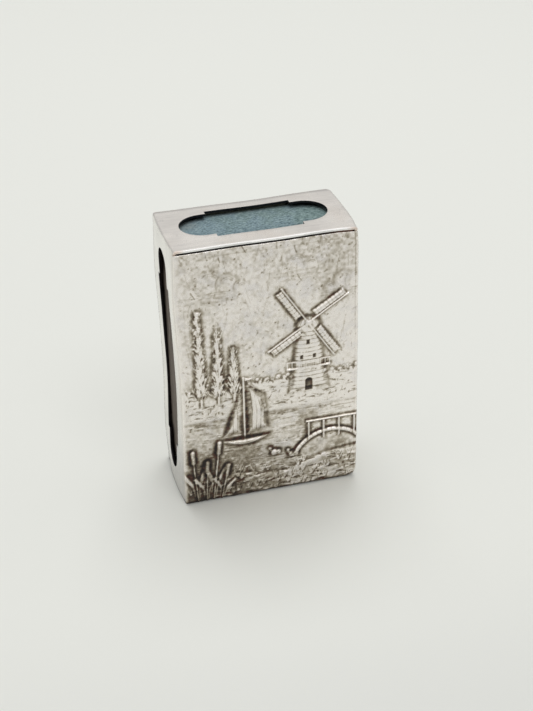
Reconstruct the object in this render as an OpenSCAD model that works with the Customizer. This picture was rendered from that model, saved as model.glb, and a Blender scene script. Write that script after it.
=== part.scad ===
// Silver matchbox holder with a matchbox inside it.
// It stands on its open end. The stamped front faces -Y, X runs across the front, Z is up.
// The origin is under the middle of the whole, on the surface that it stands on.
// Lengths are in millimetres.

/* [Silver holder] */
// Width over the two narrow side walls
holder_w = 36.4; // [28:0.1:48]
// Height over the closed top end
holder_h = 58; // [46:0.1:75]
// Depth from the front edge of the band to the back, without the relief
holder_d = 18.6; // [14:0.1:26]
// Thickness of the silver sheet
sheet = 0.5; // [0.35:0.05:0.7]
// Outside radius of the two bends at the top of the band
bend_r = 0.9; // [0.9:0.1:2.5]
// Outside radius of the rolled edges of the back
back_r = 0.8; // [0.75:0.05:1.4]
// Open seam between the top lip of the band and the front panel
seam_gap = 0.2; // [0.1:0.05:0.4]
// Thickness of the solder line between band and back
solder_line = 0.1; // [0.05:0.05:0.2]
// Leg of the solder fillet behind the front panel
solder_leg = 0.25; // [0.15:0.05:0.3]

/* [Slots] */
// Silver left at each end of the finger slot in the top
top_slot_end = 3.5; // [2:0.1:6]
// Width of the finger slot at its round ends
top_slot_w = 9.2; // [6:0.1:11]
// Distance from the side walls to its wider middle stretch
top_wide_end = 9.6; // [8:0.1:12]
// Silver left at each end of the slot in a side wall
side_slot_end = 3.9; // [3:0.1:8]
// Width of a side slot at its round ends
side_slot_w = 6.5; // [4:0.1:8]
// Distance from the ends of a side wall to the wider middle stretch of its slot
side_wide_end = 10.9; // [9:0.1:16]
// How far each long edge steps out along the wider stretch
slot_step = 1.1; // [0.5:0.1:1.5]
// How far the slots lie behind the middle
slot_back = 0.5; // [0:0.1:1]

/* [Relief] */
// Greatest height of the stamped picture over the panel
relief_h = 0.4; // [0.2:0.05:0.8]
// Height of the meadow, banks and bridge planks
low_h = 0.14; // [0.05:0.01:0.2]
// Height of the mill tower, trees, sail and reeds
mid_h = 0.27; // [0.1:0.01:0.4]

/* [Matchbox] */
// Clearance of every sliding fit
fit_gap = 0.3; // [0.25:0.05:0.5]
// Gap from the closed end of the holder down to the matchbox
box_drop = 0.3; // [0.25:0.05:1]
// Free height under the matchbox, over the rim of the holder
mouth_room = 4.3; // [4:0.1:10]
// How far the tray lies inside each end of the sleeve
tray_inset = 0.4; // [0.2:0.1:1]
// Thickness of the card of the sleeve
sleeve_card = 0.6; // [0.4:0.05:0.9]
// Thickness of the wood strip of the tray
tray_card = 0.6; // [0.4:0.05:0.9]
// Thickness of the wrapping papers
paper = 0.1; // [0.08:0.01:0.2]
// Thickness of the labels
label_t = 0.1; // [0.08:0.01:0.2]
// Thickness of the striking strips
striker_t = 0.15; // [0.1:0.05:0.2]
// Bare margin round a label
label_margin = 1.2; // [0.5:0.1:4]
// Bare margin beside a striking strip
striker_margin = 1.1; // [0.5:0.1:3]

/* [Matches] */
// Free room in the tray past the ends of the matches
match_room = 5.55; // [4.5:0.05:10]
// Side of the square stick
stick_t = 1.9; // [1.6:0.1:2.4]
// Thickness of the head over the edges of the stick
head_coat = 0.1; // [0.05:0.01:0.3]
// Length of the head
head_len = 4; // [3.6:0.1:5]
// Depth to which the stick enters the head
stick_in = 2.2; // [1.5:0.1:2.6]
// Free space between neighbouring heads
match_gap = 0.15; // [0.1:0.05:0.4]

/* [Hidden] */
$fn = 48;
// Extra length that lets a cut run past a face
past = 1;

// Places of the holder's faces, with the relief in front and the whole centred on Y = 0
depth = holder_d + relief_h;
front_y = -depth / 2 + relief_h;
back_y = depth / 2;
band_back_y = back_y - back_r - solder_line;
inner_w = holder_w - 2 * sheet;
inner_top = holder_h - sheet;
inner_front_y = front_y + sheet;
inner_back_y = back_y - sheet;

// Sleeve of the matchbox, from the room inside the holder
sleeve_top = inner_top - box_drop;
sleeve_x = inner_w - 2 * (fit_gap + striker_t + paper);
sleeve_y0 = inner_front_y + fit_gap + label_t + paper;
sleeve_y1 = inner_back_y - fit_gap - label_t - paper;

// Tray, from the room inside the sleeve
tray_z0 = mouth_room + tray_inset;
tray_z1 = sleeve_top - tray_inset;
tray_x = sleeve_x - 2 * (sleeve_card + fit_gap);
tray_y0 = sleeve_y0 + sleeve_card + fit_gap;
tray_y1 = sleeve_y1 - sleeve_card - fit_gap;
frame_x = tray_x - 2 * paper;
frame_z0 = tray_z0 + paper;
frame_z1 = tray_z1 - paper;
frame_y1 = tray_y1 - paper;
base_y0 = frame_y1 - tray_card;
hold_x = frame_x - 2 * tray_card;
hold_z0 = frame_z0 + tray_card;

// Matches lie heads down, in rows that nest like round bars
head_d = stick_t * sqrt(2) + 2 * head_coat;
pitch_x = head_d + match_gap;
pitch_y = pitch_x * sin(60);
row_y = base_y0 - match_gap - head_d / 2;
rows = 1 + floor((row_y - head_d / 2 - tray_y0) / pitch_y);
row_size = floor(hold_x / pitch_x);
match_z0 = hold_z0 + match_gap;
match_z1 = frame_z1 - tray_card - match_room;
stick_z0 = match_z0 + head_len - stick_in;

// Colours
silver = [0.85, 0.83, 0.80];
dull_silver = [0.74, 0.71, 0.65];
solder_grey = [0.62, 0.52, 0.46];
card_cream = [0.82, 0.74, 0.58];
label_cream = [0.91, 0.87, 0.76];
striker_brown = [0.38, 0.31, 0.26];
tray_blue = [0.45, 0.54, 0.56];
aspen = [0.90, 0.80, 0.62];
head_red = [0.55, 0.20, 0.14];

// Helpers

// Upright plate with two round upper corners
module plate(w, h, r) {
    translate([-w / 2, 0]) square([w, h - r]);
    translate([-w / 2 + r, 0]) square([w - 2 * r, h]);
    for (side = [-1, 1]) translate([side * (w / 2 - r), h - r]) circle(r);
}

// Upright outline of the holder, drawn inset from its outside
module arch(inset) {
    plate(holder_w - 2 * inset, holder_h - inset, bend_r - inset);
}

// Outline of the front panel, as wide as the holder and cut off under the lip
module panel() {
    plate(holder_w, inner_top - seam_gap, bend_r - sheet);
}

// Stands a flat drawing up in the XZ plane, from y0 back to y1
module stand(y0, y1) {
    translate([0, y1, 0]) rotate([90, 0, 0]) linear_extrude(y1 - y0) children();
}

// Slot with round ends and a wider middle stretch, along X in the middle of a wall
module stepped_slot(wall_len, end, w, wide_end) {
    flat_len = wall_len - 2 * end - w;
    square([flat_len, w], center = true);
    square([wall_len - 2 * wide_end, w + 2 * slot_step], center = true);
    for (side = [-1, 1]) translate([side * flat_len / 2, 0]) circle(d = w);
}

// Rectangular box between two corners
module block(a, b) {
    translate(a) cube(b - a);
}

// Holder

// One strip of sheet bent into an upside-down U: left wall, top end, right wall.
// The walls are cut back in front for the panel, and the top end keeps its lip over it.
module band() {
    color(silver) difference() {
        stand(front_y, band_back_y) difference() {
            arch(0);
            arch(sheet);
            translate([-inner_w / 2, -past]) square([inner_w, 2 * past]);
        }
        block([-holder_w / 2 - past, front_y - past, -past],
            [holder_w / 2 + past, inner_front_y, inner_top]);
        translate([0, slot_back, inner_top - past])
            linear_extrude(sheet + 2 * past)
                stepped_slot(holder_w, top_slot_end, top_slot_w, top_wide_end);
        translate([-holder_w / 2 - past, slot_back, holder_h / 2])
            rotate([0, 90, 0]) linear_extrude(holder_w + 2 * past)
                stepped_slot(holder_h, side_slot_end, side_slot_w, side_wide_end);
    }
}

// Section of a rolled edge, from the outside in along X and from its seam back along Y
module rolled_section() {
    intersection() {
        difference() {
            translate([back_r, 0]) circle(back_r);
            translate([back_r, 0]) circle(back_r - sheet);
        }
        square([back_r, back_r]);
    }
}

// Plain back with rolled edges that meet the band
module back_panel() {
    rim_y = back_y - back_r;
    leg_h = holder_h - bend_r;
    color(silver) union() {
        stand(inner_back_y, back_y) arch(back_r);
        for (side = [0, 1]) mirror([side, 0, 0]) {
            translate([-holder_w / 2, rim_y, 0]) linear_extrude(leg_h) rolled_section();
            translate([-holder_w / 2 + bend_r, rim_y, leg_h])
                rotate([-90, 0, 0]) rotate([0, 0, 180]) rotate_extrude(angle = 90)
                    translate([bend_r, 0]) mirror([1, 0]) rolled_section();
        }
        translate([-holder_w / 2 + bend_r, rim_y, holder_h])
            rotate([0, 90, 0]) linear_extrude(holder_w - 2 * bend_r) rolled_section();
    }
}

// Solder line in the butt seam between band and back
module back_solder() {
    color(solder_grey) stand(band_back_y, band_back_y + solder_line) difference() {
        arch(0);
        arch(sheet);
        translate([-inner_w / 2, -past]) square([inner_w, 2 * past]);
    }
}

// Solder behind the front panel: a fillet up each side, and one that closes the top seam
module front_solder() {
    fillet = [[0, 0], [solder_leg, 0], [0, solder_leg]];
    flat_w = inner_w - 2 * (bend_r - sheet);
    color(solder_grey) {
        for (side = [0, 1]) mirror([side, 0, 0])
            translate([-inner_w / 2, inner_front_y, 0])
                linear_extrude(inner_top - bend_r) polygon(fillet);
        translate([-flat_w / 2, inner_front_y, inner_top])
            rotate([0, 90, 0]) linear_extrude(flat_w)
                polygon([
                    [0, -sheet / 2], [0, solder_leg], [solder_leg + seam_gap, 0],
                    [seam_gap, 0], [seam_gap, -sheet / 2]
                ]);
    }
}

// Stamped picture: a made-up canal landscape with a windmill

// Windmill on the far bank, with a gallery round its tower
mill_x = 8;
mill_foot_z = 23;
mill_neck_z = 37.5;
mill_foot_w = 8.4;
mill_neck_w = 4.8;
cap_over = 0.3;
gallery_z = 28;
gallery_t = 0.7;
gallery_over = 0.4;
module mill_tower() {
    translate([mill_x, 0]) {
        polygon([
            [-mill_foot_w / 2, mill_foot_z], [mill_foot_w / 2, mill_foot_z],
            [mill_neck_w / 2, mill_neck_z], [-mill_neck_w / 2, mill_neck_z]
        ]);
        translate([0, mill_neck_z]) circle(mill_neck_w / 2 + cap_over);
        translate([-mill_foot_w / 2 - gallery_over, gallery_z])
            square([mill_foot_w + 2 * gallery_over, gallery_t]);
    }
}

// Its four sails: a spar with cloth along one side, round a boss
mill_hub_z = 38.5;
sail_turn = 33;
spar_len = 10;
spar_w = 0.44;
cloth_start = 2;
cloth_len = 7.6;
cloth_w = 1.8;
boss_r = 0.7;
module mill_sails() {
    translate([mill_x, mill_hub_z]) {
        circle(boss_r);
        for (i = [0:3]) rotate(sail_turn + 90 * i) {
            translate([0, -spar_w / 2]) square([spar_len, spar_w]);
            translate([cloth_start, 0]) square([cloth_len, cloth_w]);
        }
    }
}

// Row of poplars on the far bank, each by its place and height: shrinking circles on a trunk
poplars = [[-14.2, 22.5], [-10.6, 18], [-7.4, 13.5]];
tree_foot_z = 23;
tree_w = 3;
tree_tip = 1.5;
tree_circles = 5;
tree_shrink = 0.13;
trunk_w = 0.6;
trunk_h = 3;
module poplar_row() {
    for (tree = poplars) translate([tree[0], tree_foot_z]) {
        step = (tree[1] - trunk_h - tree_tip) / (tree_circles - 1);
        translate([-trunk_w / 2, 0]) square([trunk_w, trunk_h]);
        for (i = [0:tree_circles - 1])
            translate([0, trunk_h + i * step]) circle(tree_w / 2 * (1 - tree_shrink * i));
    }
}

// Meadows: the far bank up to the horizon, and the near bank
horizon_z = 27;
far_bank_z = 19;
near_bank = [
    [-holder_w, -past], [holder_w, -past], [holder_w, 10], [11, 7.5], [2, 4.5], [-7, 6],
    [-holder_w, 9.5]
];
module meadows() {
    translate([-holder_w / 2, far_bank_z]) square([holder_w, horizon_z - far_bank_z]);
    polygon(near_bank);
}

// Sailing barge on the canal
barge_x = -5.5;
barge_z = 13.4;
hull_len = 10.5;
hull_r = 8.2;
hull_r_z = 7;
deck_z = 0.6;
mast_w = 0.5;
mast_h = 15;
main_sail = [[0.6, 1.6], [5, 2.2], [4.2, 10.2], [0.6, 13.2]];
fore_sail = [[-0.6, 12], [-0.6, 2], [-4.4, 1.6]];
module barge_hull() {
    translate([barge_x, barge_z]) intersection() {
        translate([0, hull_r_z]) circle(hull_r);
        translate([-hull_len / 2, deck_z - hull_r]) square([hull_len, hull_r]);
    }
}
module barge_sail() {
    translate([barge_x, barge_z]) {
        translate([-mast_w / 2, 0]) square([mast_w, mast_h]);
        polygon(main_sail);
        polygon(fore_sail);
    }
}

// Foot bridge over the canal, running off the right edge: an arch with posts and a rail
bridge_x = 12.5;
bridge_z = 4.2;
bridge_r = 9;
bridge_t = 1.1;
bridge_foot = 4;
posts = 4;
post_pitch = 3.2;
post_w = 0.5;
post_foot = 6.6;
rail_h = 11;
rail_over = 0.4;
module foot_bridge() {
    rail_x = (posts - 1) / 2 * post_pitch;
    translate([bridge_x, bridge_z]) {
        intersection() {
            difference() {
                circle(bridge_r);
                circle(bridge_r - bridge_t);
            }
            translate([-bridge_r, bridge_foot]) square([2 * bridge_r, bridge_r]);
        }
        for (i = [0:posts - 1])
            translate([i * post_pitch - rail_x, post_foot]) square([post_w, rail_h - post_foot]);
        translate([-rail_x - rail_over, rail_h])
            square([2 * (rail_x + rail_over) + post_w, post_w]);
    }
}

// Bulrushes in the left corner: the foot of each stem, its height and its lean
rushes = [[-15.6, 12.5, 4], [-13.9, 9.6, -3], [-12.5, 14, -7], [-10.8, 8.4, -12]];
stem_w = 0.4;
rush_head_w = 1.1;
rush_head_len = 2.6;
module rush_stems() {
    for (rush = rushes) translate([rush[0], 0]) rotate(rush[2])
        translate([-stem_w / 2, -past]) square([stem_w, rush[1] + past]);
}
module rush_heads() {
    for (rush = rushes)
        translate([rush[0], 0]) rotate(rush[2]) translate([0, rush[1] - rush_head_len]) {
            translate([-rush_head_w / 2, 0]) square([rush_head_w, rush_head_len]);
            for (z = [0, rush_head_len]) translate([0, z]) circle(d = rush_head_w);
        }
}

// Two ducks in front of the barge, each a body, a tail and a head
ducks = [[0.6, 9.3], [4.4, 8.2]];
duck_circles = [[0, 0, 0.95], [0.8, 0, 0.75], [-0.85, 1.05, 0.5]];
module duck_pair() {
    for (duck = ducks, c = duck_circles) translate(duck + [c[0], c[1]]) circle(c[2]);
}

// One level of the picture, cut off at the edge of the panel
module relief(height) {
    stand(front_y - height, front_y) intersection() {
        panel();
        union() children();
    }
}

// Stamped front, soldered over the front edges of the band's walls and under its lip
module front_panel() {
    color(dull_silver) union() {
        stand(front_y, inner_front_y) panel();
        relief(low_h) {
            meadows();
            foot_bridge();
        }
        relief(mid_h) {
            mill_tower();
            poplar_row();
            barge_sail();
            rush_stems();
            duck_pair();
        }
        relief(relief_h) {
            mill_sails();
            barge_hull();
            rush_heads();
        }
    }
}

// Sleeve of the matchbox

// Square tube that runs along Z, drawn by its outside and its wall
module tube(w, y0, y1, z0, z1, wall) {
    difference() {
        block([-w / 2, y0, z0], [w / 2, y1, z1]);
        block([-w / 2 + wall, y0 + wall, z0 - past], [w / 2 - wall, y1 - wall, z1 + past]);
    }
}

module sleeve_card_shell() {
    color(card_cream)
        tube(sleeve_x, sleeve_y0, sleeve_y1, mouth_room, sleeve_top, sleeve_card);
}

module sleeve_paper() {
    color(label_cream)
        tube(sleeve_x + 2 * paper, sleeve_y0 - paper, sleeve_y1 + paper,
            mouth_room, sleeve_top, paper);
}

// Label from its outer face at y0 to y1
module label(y0, y1) {
    x = sleeve_x / 2 - label_margin;
    color(label_cream)
        block([-x, y0, mouth_room + label_margin], [x, y1, sleeve_top - label_margin]);
}

module front_label() {
    label(sleeve_y0 - paper - label_t, sleeve_y0 - paper);
}

module back_label() {
    label(sleeve_y1 + paper, sleeve_y1 + paper + label_t);
}

module left_striker() {
    x = -sleeve_x / 2 - paper;
    color(striker_brown)
        block([x - striker_t, sleeve_y0 + striker_margin, mouth_room],
            [x, sleeve_y1 - striker_margin, sleeve_top]);
}

module right_striker() {
    mirror([1, 0, 0]) left_striker();
}

// Tray

// Strip of wood bent round into the four walls
module tray_frame() {
    color(aspen) difference() {
        block([-frame_x / 2, tray_y0, frame_z0], [frame_x / 2, frame_y1, frame_z1]);
        block([-hold_x / 2, tray_y0 - past, hold_z0],
            [hold_x / 2, frame_y1 + past, frame_z1 - tray_card]);
    }
}

// Thin board inside the frame, which carries the matches
module tray_base() {
    color(aspen)
        block([-hold_x / 2, base_y0, hold_z0], [hold_x / 2, frame_y1, frame_z1 - tray_card]);
}

// Blue-grey paper round the walls and under the base
module tray_paper() {
    color(tray_blue) difference() {
        block([-tray_x / 2, tray_y0, tray_z0], [tray_x / 2, tray_y1, tray_z1]);
        block([-frame_x / 2, tray_y0 - past, frame_z0], [frame_x / 2, frame_y1, frame_z1]);
    }
}

// Matches

// Places one copy of its children at the foot of each match
module each_match() {
    for (row = [0:rows - 1]) {
        count = row_size - row % 2;
        for (i = [0:count - 1])
            translate([(i - (count - 1) / 2) * pitch_x, row_y - row * pitch_y, 0]) children();
    }
}

module match_stick() {
    translate([-stick_t / 2, -stick_t / 2, stick_z0])
        cube([stick_t, stick_t, match_z1 - stick_z0]);
}

// Head with round ends, hollowed by the stick that it holds
module match_head() {
    r = head_d / 2;
    difference() {
        translate([0, 0, match_z0 + r]) {
            cylinder(h = head_len - head_d, r = r);
            sphere(r);
            translate([0, 0, head_len - head_d]) sphere(r);
        }
        match_stick();
    }
}

module match_sticks() {
    color(aspen) each_match() match_stick();
}

module match_heads() {
    color(head_red) each_match() match_head();
}

band();
front_panel();
back_panel();
front_solder();
back_solder();
sleeve_card_shell();
sleeve_paper();
front_label();
back_label();
left_striker();
right_striker();
tray_frame();
tray_base();
tray_paper();
match_sticks();
match_heads();
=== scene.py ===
# A silver matchbox holder and the matchbox in it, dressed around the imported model.
# Sizes are in millimetres and become metres, the frame's unit, when a mesh is made.
import math
import random

import bmesh
import bpy
import numpy as np
from mathutils import Matrix, Vector
from mathutils.geometry import delaunay_2d_cdt


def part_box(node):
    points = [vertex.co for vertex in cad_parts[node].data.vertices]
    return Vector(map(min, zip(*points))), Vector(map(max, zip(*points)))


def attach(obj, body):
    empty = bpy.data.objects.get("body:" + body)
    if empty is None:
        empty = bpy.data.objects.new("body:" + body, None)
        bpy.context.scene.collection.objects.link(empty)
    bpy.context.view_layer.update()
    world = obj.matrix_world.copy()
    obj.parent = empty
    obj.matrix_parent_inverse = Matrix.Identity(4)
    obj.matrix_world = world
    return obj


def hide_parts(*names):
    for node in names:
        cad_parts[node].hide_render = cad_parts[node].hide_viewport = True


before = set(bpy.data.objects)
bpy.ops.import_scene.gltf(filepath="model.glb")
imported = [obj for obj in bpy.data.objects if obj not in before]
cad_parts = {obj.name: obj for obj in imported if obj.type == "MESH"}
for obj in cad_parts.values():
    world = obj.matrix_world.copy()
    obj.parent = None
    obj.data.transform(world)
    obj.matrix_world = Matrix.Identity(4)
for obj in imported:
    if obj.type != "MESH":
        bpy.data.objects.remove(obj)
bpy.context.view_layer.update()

scene = bpy.context.scene
mm = 0.001


# Band
# One strip of silver sheet, cut flat with its three stepped slots and bent into an upside-down U.
# Its walls are cut back in front for the panel. It is polished outside and left dull inside.

band_lo, band_hi = (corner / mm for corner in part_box("band"))
half_w = band_hi.x
top_z = band_hi.z
sheet = 0.5
bend_r = 0.6
flat_half = half_w - bend_r
bend_len = bend_r * math.pi / 2
strip_half = flat_half + bend_len + top_z - bend_r
bend_steps = 6

slot_y = 0.5
slot_step = 1.1
top_slot = {"length": 29.4, "width": 9.2, "wide": 17.2}
side_slot = {"length": 50.2, "width": 6.5, "wide": 36.2}


def stepped_slot(centre, length, width, wide):
    """Outline of a slot along the strip: round ends, and a wider stretch in the middle."""
    reach = (length - width) / 2
    turns = [math.pi * (i / 16 - 0.5) for i in range(17)]
    half = [(reach + width / 2 * math.cos(a), width / 2 * math.sin(a)) for a in turns]
    for s, t in ((1, 0), (1, slot_step), (-1, slot_step), (-1, 0)):
        half.append((s * wide / 2, width / 2 + t))
    whole = half + [(-s, -t) for s, t in half]
    return [(centre + s, slot_y + t) for s, t in whole]


def spaced(line, pitch, closed=True):
    """The same line with its points no further apart than pitch."""
    ends = line[1:] + line[:1] if closed else line[1:]
    points = []
    for (x0, y0), (x1, y1) in zip(line, ends):
        steps = max(1, math.ceil(math.hypot(x1 - x0, y1 - y0) / pitch))
        points += [(x0 + (x1 - x0) * i / steps, y0 + (y1 - y0) * i / steps) for i in range(steps)]
    return points if closed else points + line[-1:]


def to_polygon(x, y, corners):
    """Distance from points to a polygon's outline, negative inside it."""
    nearest = np.full(x.shape, 1e9)
    inside = np.zeros(x.shape, bool)
    for (x0, y0), (x1, y1) in zip(corners, corners[1:] + corners[:1]):
        dx, dy = x1 - x0, y1 - y0
        share = np.clip(((x - x0) * dx + (y - y0) * dy) / (dx * dx + dy * dy), 0, 1)
        nearest = np.minimum(nearest, np.hypot(x - x0 - share * dx, y - y0 - share * dy))
        if dy:
            inside ^= ((y0 > y) != (y1 > y)) & (x < dx * (y - y0) / dy + x0)
    return np.where(inside, -nearest, nearest)


def cut_sheet(outline, holes, guides, pitch):
    """Points and triangles of a flat sheet with holes, with lines of points along the guides."""
    loops = [spaced(loop, pitch) for loop in [outline, *holes]]
    points = []
    edges = []
    for loop in loops:
        first = len(points)
        edges += [(first + i, first + (i + 1) % len(loop)) for i in range(len(loop))]
        points += loop
    for guide in guides:
        first = len(points)
        edges += [(first + i, first + i + 1) for i in range(len(guide) - 1)]
        points += guide
    low, high = np.min(points, 0), np.max(points, 0)
    x, y = np.meshgrid(np.arange(low[0], high[0], pitch), np.arange(low[1], high[1], pitch))
    x[::2] += pitch / 2
    keep = to_polygon(x, y, loops[0]) < -pitch / 2
    for loop in loops[1:]:
        keep &= to_polygon(x, y, loop) > pitch / 2
    for px, py in (point for guide in guides for point in guide):
        keep &= np.hypot(x - px, y - py) > pitch / 2
    points += zip(x[keep], y[keep])
    flat, _, faces, *_ = delaunay_2d_cdt([Vector(p) for p in points], edges, [], 1, 1e-6)
    flat = np.array(flat)
    middles = np.array([flat[list(face)].mean(0) for face in faces])
    kept = np.ones(len(faces), bool)
    for loop in loops[1:]:
        kept &= to_polygon(middles[:, 0], middles[:, 1], loop) > 0
    return flat, [face for face, keep_it in zip(faces, kept) if keep_it]


def bend_strip(strip):
    """Where the outside of the flat strip comes to lie once it is bent over its two folds."""
    along = np.abs(strip[:, 0])
    turn = np.clip((along - flat_half) / bend_r, 0, math.pi / 2)
    down = np.maximum(along - flat_half - bend_len, 0)
    x = np.sign(strip[:, 0]) * (np.minimum(along, flat_half) + bend_r * np.sin(turn))
    return np.stack([x, strip[:, 1], top_z - bend_r * (1 - np.cos(turn)) - down], 1)


def soft(value):
    """A smooth rise from 0 to 1 as value goes from 0 to 1."""
    value = np.clip(value, 0, 1)
    return value * value * (3 - 2 * value)


def knock(points):
    """The shape that a century of pockets has given the case: small presses, bulges and dips."""
    x, y, z = np.asarray(points, float).T
    left, right = soft((-x - 11) / 7), soft((x - 11) / 7)
    high = soft((z - 46) / 11)
    pressed = 0.2 * np.exp(-(((z - 24) / 9) ** 2)) - 0.12 * np.exp(-(((z - 9) / 6) ** 2))
    pressed = pressed - 0.3 * np.exp(-(((z - 47) / 8) ** 2))
    pressed = pressed - 0.45 * np.exp(-((z / 7) ** 2)) * np.clip(1 - ((y + 1) / 8) ** 2, 0, 1)
    pressed = pressed + 0.28 * np.exp(-((z / 6) ** 2)) * soft((y - 4) / 4)
    bulge = 0.14 * np.clip(1 - ((z - 30) / 30) ** 2, 0, 1)
    ripple = 0.035 * np.sin(0.31 * z + 0.5) * np.sin(0.27 * y + 1)
    dip = 0.2 * high * soft((y - 2) / 7) * np.cos(np.clip(x / half_w, -1, 1) * math.pi / 2)
    sag = 0.04 * high * np.sin(0.36 * x + 0.8)
    low_corner = 0.6 * np.exp(-(((half_w - x) ** 2 + z**2) / 1.6))
    near_corner = 0.2 * np.exp(-(((half_w - x) ** 2 + (9.1 + y) ** 2 + (top_z - z) ** 2) / 6))
    far_corner = 0.25 * np.exp(-(((half_w - x) ** 2 + (9.5 - y) ** 2 + (top_z - z) ** 2) / 0.7))
    swell = 0.25 * high * np.clip(1 - (y / 9) ** 2, 0, 1)
    new_x = x + left * (pressed + ripple - swell) + right * (bulge + ripple + swell)
    new_x = new_x - low_corner - far_corner - near_corner
    new_z = z - dip - sag - far_corner - near_corner + 0.7 * low_corner
    return np.stack([new_x, y, new_z], 1)


def new_piece(name, points, faces, materials):
    """A smooth-shaded mesh object in its place, from points in millimetres."""
    mesh = bpy.data.meshes.new(name)
    mesh.from_pydata((np.asarray(points) * mm).tolist(), [], faces)
    for material in materials:
        mesh.materials.append(material)
    mesh.shade_smooth()
    piece = bpy.data.objects.new(name, mesh)
    scene.collection.objects.link(piece)
    return piece


def settle(piece):
    """Turns a piece's modifiers into plain mesh."""
    graph = bpy.context.evaluated_depsgraph_get()
    mesh = bpy.data.meshes.new_from_object(piece.evaluated_get(graph), depsgraph=graph)
    piece.modifiers.clear()
    piece.data = mesh
    return piece


def soften(piece, width, segments=2, angle=40):
    """Rounds the sharp edges of a piece and keeps its flats flat."""
    bevel = piece.modifiers.new("edges", "BEVEL")
    bevel.width = width * mm
    bevel.segments = segments
    bevel.limit_method = "ANGLE"
    bevel.angle_limit = math.radians(angle)
    piece.modifiers.new("flats", "WEIGHTED_NORMAL").weight = 80
    return settle(piece)


def sheet_metal(name, outside, faces, materials):
    """A piece of sheet from its outer face: thickened inwards, its cut edges softened."""
    outside = np.asarray(outside)
    corners = outside[[face[:3] for face in faces]]
    normals = np.cross(corners[:, 1] - corners[:, 0], corners[:, 2] - corners[:, 0])
    outwards = corners.mean(1) - np.array([0, 0, top_z / 2])
    if (normals * outwards).sum() < 0:
        faces = [face[::-1] for face in faces]
    piece = new_piece(name, outside, faces, materials)
    wall = piece.modifiers.new("wall", "SOLIDIFY")
    wall.thickness = sheet * mm
    wall.offset = -1
    wall.use_even_offset = True
    wall.material_offset = 1
    wall.material_offset_rim = 2
    return soften(piece, 0.11, 3)


class Shade:
    """A node's output in a material. Python's operators on it add Math nodes to the material."""

    def __init__(self, tree, socket):
        self.tree = tree
        self.socket = socket

    def node(self, kind, inputs=None, out=0, **settings):
        """Adds a node with its settings made first, then its values and links."""
        made = self.tree.nodes.new(kind)
        for name, value in settings.items():
            if name == "stops":
                ramp = made.color_ramp.elements
                while len(ramp) < len(value):
                    ramp.new(1)
                for stop, (place, colour) in zip(ramp, value):
                    stop.position = place
                    stop.color = (*colour, 1)
            else:
                setattr(made, name, value)
        for key, value in (inputs or {}).items():
            if isinstance(value, Shade):
                self.tree.links.new(value.socket, made.inputs[key])
            else:
                made.inputs[key].default_value = value
        return Shade(self.tree, made.outputs[out]) if made.outputs else None

    def math(self, operation, *values):
        return self.node("ShaderNodeMath", dict(enumerate(values)), operation=operation)

    def __add__(self, other):
        return self.math("ADD", self, other)

    def __radd__(self, other):
        return self.math("ADD", other, self)

    def __sub__(self, other):
        return self.math("SUBTRACT", self, other)

    def __rsub__(self, other):
        return self.math("SUBTRACT", other, self)

    def __mul__(self, other):
        return self.math("MULTIPLY", self, other)

    def __rmul__(self, other):
        return self.math("MULTIPLY", other, self)

    def __pow__(self, other):
        return self.math("POWER", self, other)

    def abs(self):
        return self.math("ABSOLUTE", self)

    def least(self, other):
        return self.math("MINIMUM", self, other)

    def most(self, other):
        return self.math("MAXIMUM", self, other)

    def rise(self, low, high):
        """0 up to low, 1 from high on, smooth between them. It falls where low is above high."""
        if low > high:
            return 1 - self.rise(high, low)
        spread = {"Value": self, "From Min": low, "From Max": high}
        return self.node("ShaderNodeMapRange", spread, interpolation_type="SMOOTHSTEP")

    def axis(self, name):
        """One coordinate of a place, in millimetres."""
        return self.node("ShaderNodeSeparateXYZ", {0: self}, "XYZ".index(name)) * (1 / mm)

    def noise(self, per_mm, detail=2.0, rough=0.5, stretch=(1, 1, 1), shift=0.0):
        """Cloudy values about 0.5, stretched where an axis of stretch is under 1."""
        moved = {"Vector": self, "Location": (shift, shift, shift), "Scale": stretch}
        place = self.node("ShaderNodeMapping", moved, vector_type="POINT")
        look = {"Vector": place, "Scale": per_mm / mm, "Detail": detail, "Roughness": rough}
        return self.node("ShaderNodeTexNoise", look)

    def mix(self, first, second):
        """The first colour where this value is 0, the second where it is 1."""
        pair = {0: self}
        for key, colour in ((6, first), (7, second)):
            pair[key] = colour if isinstance(colour, Shade) else (*colour, 1)
        return self.node("ShaderNodeMix", pair, 2, data_type="RGBA")

    def bump(self, depth, below=None):
        """A normal bent by this value's slopes, of a depth in millimetres, over another one."""
        slopes = {"Height": self, "Distance": depth * mm}
        if below:
            slopes["Normal"] = below
        return self.node("ShaderNodeBump", slopes)


def new_material(name, build):
    """A material from a function that gives the shader's sockets for a place on the object."""
    material = bpy.data.materials.new(name)
    material.use_nodes = True
    tree = material.node_tree
    tree.nodes.clear()
    place = Shade(tree, tree.nodes.new("ShaderNodeTexCoord").outputs["Object"])
    shader = place.node("ShaderNodeBsdfPrincipled", build(place))
    place.node("ShaderNodeOutputMaterial", {"Surface": shader})
    return material


silver = (0.93, 0.905, 0.86)
warm_silver = (0.84, 0.775, 0.70)


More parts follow.
